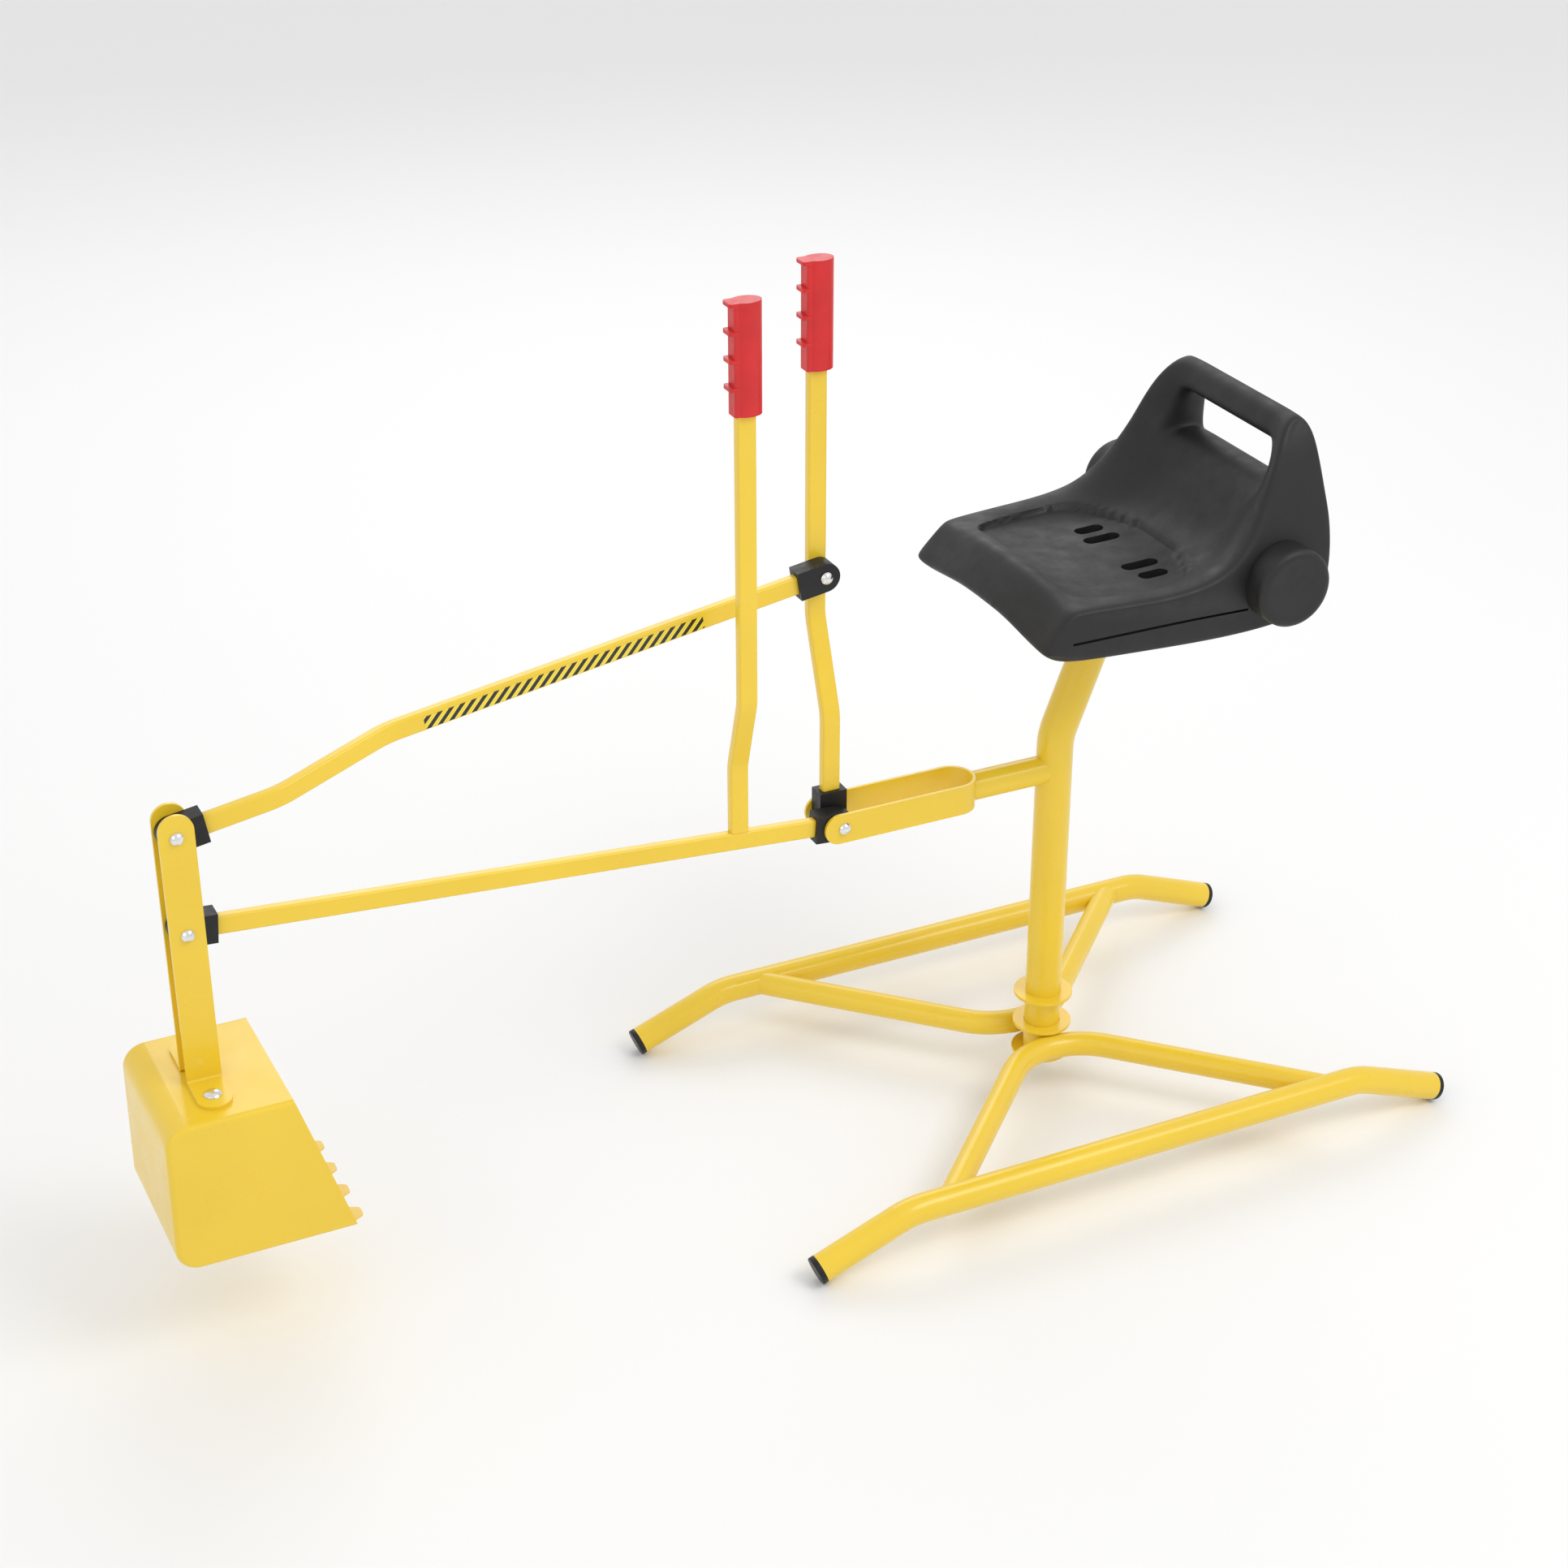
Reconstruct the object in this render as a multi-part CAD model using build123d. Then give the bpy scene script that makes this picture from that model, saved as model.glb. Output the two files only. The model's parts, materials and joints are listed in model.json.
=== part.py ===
"""Child's ride-on sand digger: a swivel seat on a tube base, with a lever-worked boom and bucket.

Millimetres, +Z up. The origin is on the ground, on the axis that the seat and boom turn about.
The boom and bucket point along -X, so the rider faces -X: the rider's left is -Y, the right is +Y.
Each piece is one solid (or one group of identical solids) in a STEP file of its own.
"""
from build123d import *
from math import atan2, cos, degrees, hypot, radians, sin, sqrt, tan
import os

# ---------------------------------------------------------------- driving dimensions
# Base: two rails along X, each with both ends bent down to the ground
rail_diameter = 25.0
tube_wall = 1.5
rail_offset_y = 189.8           # rail centreline from the XZ plane
rail_height = 44.9              # centreline of the straight stretch
rail_bend_front_x = -235.0
rail_bend_rear_x = 215.6
rail_leg_run = 88.0             # horizontal length of a bent-down leg, cap included
rail_bend_radius = 70.0
end_cap_head = 5.0
end_cap_plug = 16.0

# Braces: one bent tube each side, from the rail in to the hub and back out
brace_diameter = 22.0
brace_front_x = -198.0
brace_rear_x = 185.0
brace_apex_y = 26.6             # centreline at the hub

# Hub, flanges and the turning joint
post_diameter = 32.0
post_wall = 2.0
hub_bottom_z = 28.0
hub_top_z = 86.6
flange_diameter = 53.0
flange_thickness = 3.0
mid_flange_top_z = 60.0
upper_flange_top_z = 91.1
bush_wall_length = 18.0
spindle_diameter = 20.0
running_clearance = 0.05        # radial, for every pin in its bore

# Post
post_bend_z = 349.9
post_lean = 21.0                # degrees rearward, above the bend
post_bend_radius = 60.0
post_top_z = 468.0

# Boom stub and its fork
boom_height = 319.0
boom_stub_diameter = 25.4
fork_height = 27.0
fork_width = 41.0
fork_thickness = 2.6
fork_rear_x = -81.0
fork_tip_reach = 18.0           # fork tip beyond the pivot

# Linkage pivots, as (x, z)
boom_pivot = (-213.8, 318.9)
bucket_pivot = (-770.4, 360.8)
link_pivot = (-770.4, 444.6)
rod_pivot = (-213.8, 532.7)
arm_y = -9.3                    # lower arm, and the rod where it meets the bucket
lever_foot_y = 9.4              # bucket lever at the boom pivot
pivot_bolt_diameter = 6.0
bolt_head_diameter = 11.0
bolt_head_height = 4.2
nut_flats = 10.0
nut_height = 6.0

# Rectangular lever tube and the moulded fittings on its ends
bar_depth = 16.0
bar_width = 9.0
bar_corner = 2.0
bar_wall = 1.4
fitting_height = 24.8
fitting_width = 16.4
fitting_reach = 24.4            # pivot to the mouth of the socket
fitting_socket = 13.0

# Levers
left_lever_x = -307.0
left_lever_grip_y = -28.4
left_lever_bends_z = (395.0, 459.5)
right_lever_grip_y = 38.2
right_lever_bends_z = (413.0, 492.0)
lever_bend_radius = 40.0
lever_top_z = 789.0
grip_top_z = 795.6
grip_length = 90.0
grip_depth = 25.0
grip_width = 19.0
grip_rib_pitch = 22.0
grip_rib_reach = 4.0

# Push rod: its front end hangs a little under the link pivot, in a tall slot
rod_drop = 2.0
rod_side_y = 25.4
rod_jog_x = (-591.0, -687.0)
rod_bend_radius = 65.0
slot_half_width = 4.4
slot_up = 3.3
slot_down = 11.0
sticker_thickness = 0.25
sticker_height = 10.6
sticker_drop = 1.2              # below the middle of the rod's side
sticker_x = (-560.0, -322.0)

# Bucket and its link plates
bucket_width = 135.4
bucket_top_z = 228.0
bucket_bottom_z = 96.0
bucket_back_x = -817.5
bucket_mouth_top_x = -715.5
bucket_mouth_bottom_x = -673.5
bucket_wall = 1.6
bucket_back_radius = 19.0
bucket_edge_round = 4.5
bucket_side_flange = 7.0
mouth_run_out = 6.4             # how far the cavity runs out past the mouth, so that it is open
tooth_pitch = 33.8
tooth_width = 18.0
tooth_count = 4
tooth_reach = 8.0
tooth_root = 6.0
tooth_tip_width = 10.0
tooth_tip_round = 3.5
plate_width = 27.5
plate_thickness = 3.0
plate_gap = 17.5
plate_top_reach = 19.5
foot_reach = 53.0
foot_bolt_offset = 35.0
foot_bolt_diameter = 6.0
foot_bolt_length = 14.0
foot_bolt_head_diameter = 14.0
foot_bolt_head_height = 4.0
foot_nut_height = 5.0
foot_bend_radius = 4.0
foot_inner_radius = 2.0

# Seat
seat_bottom_z = 471.0
seat_seam_z = 496.0
seat_wall = 3.0
seat_recess_z = 518.5
seat_pad_height = 12.0          # solid pad that the bolts thread into
seat_half_width = 118.0
side_cap_center = (136.0, 518.0)
side_cap_radius = 34.0
side_cap_face_y = 142.0
bracket_size = (118.0, 92.0)
bracket_thickness = 3.0
bracket_corner = 12.0
bracket_center_x = 46.0
seat_bolt_spread = (88.0, 64.0)


# ---------------------------------------------------------------- shared shapes
def annulus(outer_diameter, wall):
    return Circle(outer_diameter / 2) - Circle(outer_diameter / 2 - wall)


def bar_section(width, depth):
    hollow = RectangleRounded(width - 2 * bar_wall, depth - 2 * bar_wall, bar_corner - bar_wall + 0.2)
    return RectangleRounded(width, depth, bar_corner) - hollow


def sweep_along(points, bend_radius, section, across):
    """Sweep a flat section along a polyline with rounded corners; its local X lies along `across`."""
    path = FilletPolyline(*points, radius=bend_radius)
    start = Plane(origin=path @ 0, x_dir=across, z_dir=path % 0)
    return sweep(start * section, path=path)


def rod_between_y(x, z, y_low, y_high, diameter):
    """A solid cylinder along Y."""
    plane = Plane(origin=(x, y_low, z), x_dir=(1, 0, 0), z_dir=(0, 1, 0))
    return extrude(plane * Circle(diameter / 2), y_high - y_low)


def dome_bolt_y(x, z, y_head, y_end, diameter=pivot_bolt_diameter):
    """A bolt along +Y whose domed head bears on the face at y_head."""
    shank = rod_between_y(x, z, y_head, y_end, diameter)
    return shank + dome_head(Plane(origin=(x, y_head, z), x_dir=(1, 0, 0), z_dir=(0, -1, 0)))


def dome_head(plane, diameter=bolt_head_diameter, height=bolt_head_height):
    """A domed bolt head standing on a plane: a short rim, then part of a ball."""
    rim = height * 0.22
    rise = height - rim
    radius = diameter / 2
    ball = (radius ** 2 + rise ** 2) / (2 * rise)
    disc = extrude(plane * Circle(radius), rim)
    cap = plane.offset(rim + rise - ball) * Sphere(ball)
    keep = extrude(plane.offset(rim) * Circle(radius), rise + 1)
    return disc + (cap & keep)


def hex_nut_y(x, z, y_low, diameter=pivot_bolt_diameter):
    """A lock nut along +Y: hexagon flats, then a round collar that grips the thread."""
    plane = Plane(origin=(x, y_low, z), x_dir=(1, 0, 0), z_dir=(0, 1, 0))
    hexagon = extrude(plane * RegularPolygon(nut_flats / 2, 6, major_radius=False), nut_height * 0.75)
    collar = extrude(plane * Circle(nut_flats * 0.44), nut_height)
    return hexagon + collar - rod_between_y(x, z, y_low, y_low + nut_height, diameter)


def end_fitting(pivot, angle, y_mid, slot=False):
    """Moulded fitting: a rounded eye on the pivot and a socket for a bar that leaves at `angle`.

    `angle` is measured in the XZ plane, from +X towards +Z.
    """
    plane = Plane(
        origin=(pivot[0], y_mid, pivot[1]),
        x_dir=(cos(radians(angle)), 0, sin(radians(angle))),
        z_dir=(0, -1, 0),
    )
    half = fitting_height / 2
    outline = Circle(half) + Pos(fitting_reach / 2, 0) * Rectangle(fitting_reach, fitting_height)
    body = extrude(plane * outline, fitting_width / 2, both=True)
    socket_x = fitting_reach - fitting_socket / 2
    mouth = Plane(
        origin=plane.from_local_coords((socket_x, 0, 0)),
        x_dir=(0, 1, 0),
        z_dir=plane.x_dir,
    )
    bar_outline = RectangleRounded(bar_width, bar_depth, bar_corner)
    socket = extrude(mouth * bar_outline, fitting_socket / 2, both=True)
    body -= socket
    if slot:
        return body
    bore = pivot_bolt_diameter / 2 + running_clearance
    return body - extrude(plane * Circle(bore), fitting_width, both=True)


def grip(x, y):
    """Moulded hand grip: an oval sleeve, closed on top, with finger ribs along its front."""
    bottom = grip_top_z - grip_length
    sleeve_plane = Plane(origin=(x, y, bottom))
    oval = Pos(1.5, 0) * Ellipse(grip_depth / 2, grip_width / 2)
    front = Pos(-5.5, 0) * RectangleRounded(11.0, grip_width * 0.72, 2.0)
    sleeve = extrude(sleeve_plane * (oval + front), grip_length)
    for index in range(4):
        top = grip_top_z - index * grip_rib_pitch
        rib = Pos(-9.0, 0) * RectangleRounded(4.0 + 2 * grip_rib_reach, grip_width * 0.76, 2.5)
        sleeve += extrude(Plane(origin=(x, y, top - 3.0)) * rib, 3.0)
    hole = RectangleRounded(bar_depth, bar_width, bar_corner)
    return sleeve - extrude(sleeve_plane * hole, lever_top_z - bottom)


# ---------------------------------------------------------------- base
leg_angle = degrees(atan2(rail_height - rail_diameter / 2, rail_leg_run))
leg_end_z = rail_diameter / 2 * cos(radians(leg_angle))
leg_angle = degrees(atan2(rail_height - leg_end_z, rail_leg_run))


def rail_points(y, shorten):
    """Centreline of a rail, with `shorten` left off each end."""
    run = rail_leg_run - shorten * cos(radians(leg_angle))
    low = leg_end_z + shorten * sin(radians(leg_angle))
    return [
        (rail_bend_front_x - run, y, low),
        (rail_bend_front_x, y, rail_height),
        (rail_bend_rear_x, y, rail_height),
        (rail_bend_rear_x + run, y, low),
    ]


def make_rail(y):
    section = annulus(rail_diameter, tube_wall)
    return sweep_along(rail_points(y, end_cap_head), rail_bend_radius, section, (0, 1, 0))


def rail_envelope(y):
    return sweep_along(rail_points(y, end_cap_head), rail_bend_radius, Circle(rail_diameter / 2), (0, 1, 0))


def make_end_cap(x_end, y, toward):
    """A plug in the tube with a head of the tube's own diameter, its outer rim on the ground."""
    inward = Vector(-toward * cos(radians(leg_angle)), 0, sin(radians(leg_angle)))
    face = Plane(origin=(x_end, y, leg_end_z), x_dir=(0, 1, 0), z_dir=(inward.X, inward.Y, inward.Z))
    head = extrude(face * Circle(rail_diameter / 2), end_cap_head)
    head = chamfer(head.edges().filter_by(GeomType.CIRCLE).sort_by_distance(face.origin)[0], 0.6)
    plug = extrude(face.offset(end_cap_head) * Circle(rail_diameter / 2 - tube_wall), end_cap_plug)
    return head + plug


def make_brace(side):
    """side is -1 for the rider's left and +1 for the right."""
    vertex_x = (brace_front_x + brace_rear_x) / 2
    vertex_y = rail_offset_y - (brace_rear_x - brace_front_x) / 2
    bend_radius = (brace_apex_y - vertex_y) / (sqrt(2) - 1)
    points = [
        (brace_front_x, side * rail_offset_y, rail_height),
        (vertex_x, side * vertex_y, rail_height),
        (brace_rear_x, side * rail_offset_y, rail_height),
    ]
    tube = sweep_along(points, bend_radius, annulus(brace_diameter, tube_wall), (0, 0, 1))
    hub = Pos(0, 0, rail_height) * Cylinder(post_diameter / 2, 2 * brace_diameter)
    return tube - rail_envelope(side * rail_offset_y) - hub


def ring(z_bottom, height, outer_diameter, inner_diameter):
    plane = Plane(origin=(0, 0, z_bottom))
    return extrude(plane * (Circle(outer_diameter / 2) - Circle(inner_diameter / 2)), height)


def make_bush(z_bottom):
    """Plain sleeve between the hub tube and the spindle."""
    bore = spindle_diameter + 2 * running_clearance
    return ring(z_bottom, bush_wall_length, post_diameter - 2 * post_wall, bore)


# ---------------------------------------------------------------- turning upper frame
def post_points():
    lean = radians(post_lean)
    top_x = (post_top_z - post_bend_z) * tan(lean)
    return [(0, 0, upper_flange_top_z), (0, 0, post_bend_z), (top_x, 0, post_top_z)]


def make_post():
    section = annulus(post_diameter, post_wall)
    tube = sweep_along(post_points(), post_bend_radius, section, (0, 1, 0))
    top_x = post_points()[2][0]
    above = Pos(top_x, 0, post_top_z + 20) * Box(120, 60, 40)
    points = post_points()
    lean = radians(post_lean)
    points[2] = (top_x + 25 * sin(lean), 0, post_top_z + 25 * cos(lean))
    tube = sweep_along(points, post_bend_radius, section, (0, 1, 0))
    return tube - above


def make_spindle():
    """Solid pin welded in the upper flange; its threaded end carries the retaining nut."""
    top = upper_flange_top_z + 20.0
    bottom = hub_bottom_z + 4.0
    pin = Pos(0, 0, (top + bottom) / 2) * Cylinder(spindle_diameter / 2, top - bottom)
    thread = Pos(0, 0, bottom - 8.0) * Cylinder(6.0, 16.0)
    return pin + thread


def make_boom_stub():
    plane = Plane(origin=(0, 0, boom_height), x_dir=(0, 1, 0), z_dir=(-1, 0, 0))
    tube = extrude(plane * annulus(boom_stub_diameter, tube_wall), -fork_rear_x + 10)
    post = Pos(0, 0, boom_height) * Cylinder(post_diameter / 2, 100)
    return tube - post - fork_envelope(fork_width)


def fork_envelope(width):
    """Everything inside the fork's outer outline, to trim what is welded to its back."""
    radius = width / 2
    tip = boom_pivot[0] - fork_tip_reach
    straight = fork_rear_x - radius - tip
    plane = Plane(origin=(tip, 0, boom_height - fork_height))
    outline = Pos(straight / 2, 0) * Rectangle(straight, width) + Pos(straight, 0) * Circle(radius)
    return extrude(plane * outline, 2 * fork_height)


def make_fork():
    """Flat bar bent into a long U, its open end forward, its tips rounded around the pivot."""
    bar = fork_envelope(fork_width) - fork_envelope_inner()
    side = Plane(origin=(0, 0, 0), x_dir=(1, 0, 0), z_dir=(0, -1, 0))
    tip_radius = fork_height / 2
    tip_center = boom_pivot[0] - fork_tip_reach + tip_radius
    length = fork_rear_x + 5 - tip_center
    profile = Pos(tip_center + length / 2, boom_height) * Rectangle(length, fork_height)
    profile += Pos(tip_center, boom_height) * Circle(tip_radius)
    bar &= extrude(side * profile, fork_width, both=True)
    return bar - rod_between_y(*boom_pivot, -fork_width, fork_width, pivot_bolt_diameter)


def fork_envelope_inner():
    """The gap in the fork, carried on past its tips so that the front is open."""
    gap = fork_width - 2 * fork_thickness
    center_x = fork_rear_x - fork_width / 2
    reach = 200.0
    plane = Plane(origin=(center_x, 0, boom_height - fork_height))
    outline = Circle(gap / 2) + Pos(-reach / 2, 0) * Rectangle(reach, gap)
    return extrude(plane * outline, 2 * fork_height)


# ---------------------------------------------------------------- seat
# Side outline of the seat: front lip, pan, backrest up to the handle, then down the back
seat_side = {
    "front_low": (-80.0, 490.0),
    "pan": [(-57, 521), (-10, 522), (42, 522), (78, 530), (110, 556), (131, 596), (145, 630), (158, 642.5)],
    "back": [(164, 643), (175, 636), (178, 610), (180, 574), (186, 538), (184, 505)],
    "under": [(150, 474), (80, seat_bottom_z), (2, 474), (-50, 477)],
}


def seat_side_face(inset=0.0):
    """Outline seen from the side. The inset one, inside the shell, has straight sides."""
    pan = seat_side["pan"]
    back = seat_side["back"]
    under = seat_side["under"]
    front_low = seat_side["front_low"]
    if inset:
        face = make_face(Polyline(front_low, *pan, *back, *under, close=True))
        face = offset(face, amount=-inset, kind=Kind.INTERSECTION)
    else:
        outline = Line(front_low, pan[0]) + Spline(*pan)
        outline += Line(pan[-1], back[0]) + Spline(*back)
        outline += Polyline(back[-1], *under, front_low)
        face = make_face(outline)
    return Plane(origin=(0, 0, 0), x_dir=(1, 0, 0), z_dir=(0, -1, 0)) * face


def seat_front_face(inset=0.0):
    """Outline seen along X: a wide pan, drawn in towards the top of the handle."""
    right = [
        (104, seat_bottom_z - 2),
        (seat_half_width, 498),
        (seat_half_width, 530),
        (111, 560),
        (104, 596),
        (95, 628),
        (80, 644),
    ]
    left = [(-y, z) for y, z in reversed(right)]
    face = make_face(Polyline(*right, *left, close=True))
    if inset:
        face = offset(face, amount=-inset, kind=Kind.INTERSECTION)
    return Plane.YZ * face


def seat_plan_face(inset=0.0):
    """Outline seen from above."""
    right = [(-80, 108), (-50, 114), (0, 117), (60, 118), (120, 118), (165, 112), (187, 96)]
    left = [(x, -y) for x, y in reversed(right)]
    face = make_face(Polyline(*right, *left, close=True))
    if inset:
        face = offset(face, amount=-inset, kind=Kind.INTERSECTION)
    return face


def seat_volume(inset):
    side = extrude(seat_side_face(inset), 150, both=True)
    front = extrude(seat_front_face(inset), 300, both=True)
    plan = extrude(seat_plan_face(inset), 700)
    return side & front & plan


def seat_handle_hole():
    plane = Plane(origin=(60, 0, 599.5), x_dir=(0, 1, 0), z_dir=(1, 0, 0))
    return extrude(plane * RectangleRounded(138, 31, 14), 200)


def seat_split():
    """The half-space below the seam between the two shells."""
    return Pos(50, 0, seat_seam_z - 100) * Box(400, 400, 200)


def seat_recess(grow, floor_z, height):
    """The shallow pan that the sitter's weight rests in, as a block to cut with."""
    points = [(-41, 83), (3, 92), (45, 94), (66, 86), (80, 62), (92, 30)]
    mirrored = [(x, -y) for x, y in reversed(points)]
    face = make_face(Polyline(*points, *mirrored, close=True))
    face = fillet(face.vertices(), 12)
    if grow:
        face = offset(face, amount=grow)
    return extrude(Plane(origin=(0, 0, floor_z)) * face, height)


def make_seat_hollow():
    lining = seat_volume(seat_wall)
    lining -= seat_recess(seat_wall, seat_recess_z - seat_wall, 30)
    plane = Plane(origin=(60, 0, 599.5), x_dir=(0, 1, 0), z_dir=(1, 0, 0))
    rim = 2 * seat_wall
    return lining - extrude(plane * RectangleRounded(138 + rim, 31 + rim, 14 + seat_wall), 200)


def seat_slots():
    slots = []
    for side in (-1, 1):
        for y, length in ((30.6, 34.0), (51.7, 27.0)):
            plane = Plane(origin=(55, side * y, 500))
            slots.append(extrude(plane * SlotOverall(length, 11.5), 60))
    return slots


def make_seat_shell(outer, hollow):
    shell = outer - seat_handle_hole() - hollow - seat_split()
    shell -= seat_recess(0, seat_recess_z, 30)
    for slot in seat_slots():
        shell -= slot
    return shell


def make_seat_under_shell(outer, hollow):
    shell = (outer - hollow) & seat_split()
    pad = Pos(bracket_center_x, 0, seat_bottom_z + seat_pad_height / 2) * Box(*bracket_size, seat_pad_height)
    shell += fillet(pad.edges().filter_by(Axis.Z), bracket_corner)
    for x, y in seat_bolt_places():
        shell -= Pos(x, y, seat_bottom_z + seat_pad_height / 2) * Cylinder(3, 3 * seat_pad_height)
    return shell


def seat_bolt_places():
    half_x, half_y = (spread / 2 for spread in seat_bolt_spread)
    return [(bracket_center_x + sx * half_x, sy * half_y) for sx in (-1, 1) for sy in (-1, 1)]


def make_seat_bracket():
    """Pressed plate welded on the slanting top of the post."""
    plate_z = post_top_z + bracket_thickness / 2
    plate = Pos(bracket_center_x, 0, plate_z) * Box(*bracket_size, bracket_thickness)
    plate = fillet(plate.edges().filter_by(Axis.Z), bracket_corner)
    for x, y in seat_bolt_places():
        plate -= Pos(x, y, post_top_z) * Cylinder(3, 4 * bracket_thickness)
    return plate


def make_seat_bolt(x, y):
    head_plane = Plane(origin=(x, y, post_top_z), x_dir=(1, 0, 0), z_dir=(0, 0, -1))
    length = bracket_thickness + seat_pad_height
    shank = Pos(x, y, post_top_z + length / 2) * Cylinder(3, length)
    return shank + dome_head(head_plane)


def make_side_cap(side):
    """Round moulded boss on the side of the seat, where the backrest meets the pan."""
    inner_y = seat_half_width - 14.0
    plane = Plane(
        origin=(side_cap_center[0], side * side_cap_face_y, side_cap_center[1]),
        x_dir=(1, 0, 0),
        z_dir=(0, -side, 0),
    )
    disc = extrude(plane * Circle(side_cap_radius), side_cap_face_y - inner_y)
    rim = disc.edges().filter_by(GeomType.CIRCLE).sort_by_distance(plane.origin)[0]
    return fillet(rim, 4.0)


# ---------------------------------------------------------------- boom arm and its lever
def arm_angle():
    """Slope of the lower arm from the boom pivot to the bucket pivot, in the XZ plane."""
    return degrees(atan2(bucket_pivot[1] - boom_pivot[1], bucket_pivot[0] - boom_pivot[0]))


def straight_bar(start, end, y, trim):
    """Rectangular tube between two pivots, `trim` short of each."""
    length = hypot(end[0] - start[0], end[1] - start[1])
    along = ((end[0] - start[0]) / length, 0, (end[1] - start[1]) / length)
    origin = (start[0] + along[0] * trim, y, start[1] + along[2] * trim)
    plane = Plane(origin=origin, x_dir=(0, 1, 0), z_dir=along)
    return extrude(plane * bar_section(bar_width, bar_depth), length - 2 * trim)


def lever_bar(x, y_low, y_high, z_low, bends_z):
    points = [(x, y_low, z_low), (x, y_low, bends_z[0]), (x, y_high, bends_z[1]), (x, y_high, lever_top_z)]
    return sweep_along(points, lever_bend_radius, bar_section(bar_depth, bar_width), (1, 0, 0))


def make_left_lever(arm_top):
    lever = lever_bar(left_lever_x, arm_y, left_lever_grip_y, arm_top - 12, left_lever_bends_z)
    run = 80.0
    slope = radians(arm_angle() + 180)
    below = Box(run, 40, 60)
    normal = bar_depth / 2 - 30.0
    place = Location((left_lever_x, arm_y, arm_top - bar_depth / 2 / cos(slope)), (0, -degrees(slope), 0))
    return lever - place * (Pos(0, 0, normal) * below)


# ---------------------------------------------------------------- push rod
def rod_ends():
    """The rod's rear eye, its front eye, and its slope."""
    front = (link_pivot[0], link_pivot[1] - rod_drop)
    angle = degrees(atan2(front[1] - rod_pivot[1], front[0] - rod_pivot[0]))
    return rod_pivot, front, angle


def rod_height_at(x):
    rear, front, _ = rod_ends()
    return rear[1] + (front[1] - rear[1]) * (x - rear[0]) / (front[0] - rear[0])


def make_rod():
    rear, front, angle = rod_ends()
    trim = fitting_reach - fitting_socket
    start_x = rear[0] + trim * cos(radians(angle))
    end_x = front[0] - trim * cos(radians(angle))
    stations = [(start_x, rod_side_y), (rod_jog_x[0], rod_side_y), (rod_jog_x[1], arm_y), (end_x, arm_y)]
    points = [(x, y, rod_height_at(x)) for x, y in stations]
    return sweep_along(points, rod_bend_radius, bar_section(bar_width, bar_depth), (0, 1, 0))


def make_rod_front_fitting():
    """The eye is a tall slot: the link pin rises and falls in it as the bucket tips."""
    _, front, angle = rod_ends()
    body = end_fitting(front, angle + 180, arm_y, slot=True)
    height = slot_up + slot_down
    middle = link_pivot[1] + (slot_up - slot_down) / 2
    plane = Plane(origin=(link_pivot[0], arm_y, middle), x_dir=(1, 0, 0), z_dir=(0, -1, 0))
    opening = RectangleRounded(2 * slot_half_width, height, slot_half_width - 0.2)
    return body - extrude(plane * opening, fitting_width, both=True)


def make_sticker():
    """Thin film on the near side of the rod."""
    x_low, x_high = sticker_x
    length = (x_high - x_low) / cos(radians(rod_ends()[2] + 180))
    middle_x = (x_low + x_high) / 2
    angle = radians(rod_ends()[2] + 180)
    plane = Plane(
        origin=(middle_x, rod_side_y - bar_width / 2, rod_height_at(middle_x) - sticker_drop),
        x_dir=(cos(angle), 0, sin(angle)),
        z_dir=(0, -1, 0),
    )
    return extrude(plane * RectangleRounded(length, sticker_height, 1.0), sticker_thickness)


# ---------------------------------------------------------------- bucket
bucket_y_high = arm_y + bucket_width / 2


def bucket_side_outline(inset):
    """Side outline: a box with a slanting mouth and two rounded back corners."""
    face = make_face(Polyline(
        (bucket_mouth_top_x, bucket_top_z),
        (bucket_back_x, bucket_top_z),
        (bucket_back_x - 2.0, bucket_bottom_z),
        (bucket_mouth_bottom_x, bucket_bottom_z),
        close=True,
    ))
    corners = face.vertices().sort_by(Axis.X)[0:2]
    face = fillet(corners, bucket_back_radius)
    if inset:
        face = offset(face, amount=-inset, kind=Kind.INTERSECTION)
    return face


def bucket_solid(inset):
    plane = Plane(origin=(0, bucket_y_high - inset, 0), x_dir=(1, 0, 0), z_dir=(0, -1, 0))
    return extrude(plane * bucket_side_outline(inset), bucket_width - 2 * inset)


def make_bucket_parts():
    """The wrapped sheet with its teeth, and the two side pans that fold over it."""
    outer = bucket_solid(0)
    side_edges = [
        edge for edge in outer.edges()
        if abs(edge.center().Y - arm_y) > bucket_width / 2 - 0.1 and not on_mouth(edge.center())
    ]
    outer = fillet(side_edges, bucket_edge_round)
    cavity = bucket_solid(bucket_wall)
    cavity += Pos(mouth_run_out, 0, 0) * cavity
    shell = outer - cavity
    split = bucket_width / 2 - bucket_side_flange
    center_x = (bucket_back_x + bucket_mouth_bottom_x) / 2
    center_z = (bucket_top_z + bucket_bottom_z) / 2
    size = 2 * bucket_width
    middle = Pos(center_x, arm_y, center_z) * Box(size, 2 * split, size)
    left = Pos(center_x, arm_y - size / 2 - split, center_z) * Box(size, size, size)
    right = Pos(center_x, arm_y + size / 2 + split, center_z) * Box(size, size, size)
    return shell & middle, shell & left, shell & right


def on_mouth(point):
    """True for a point in the slanting plane of the bucket's mouth."""
    share = (point.Z - bucket_bottom_z) / (bucket_top_z - bucket_bottom_z)
    mouth_x = bucket_mouth_bottom_x + share * (bucket_mouth_top_x - bucket_mouth_bottom_x)
    return abs(point.X - mouth_x) < 1.0


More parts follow.
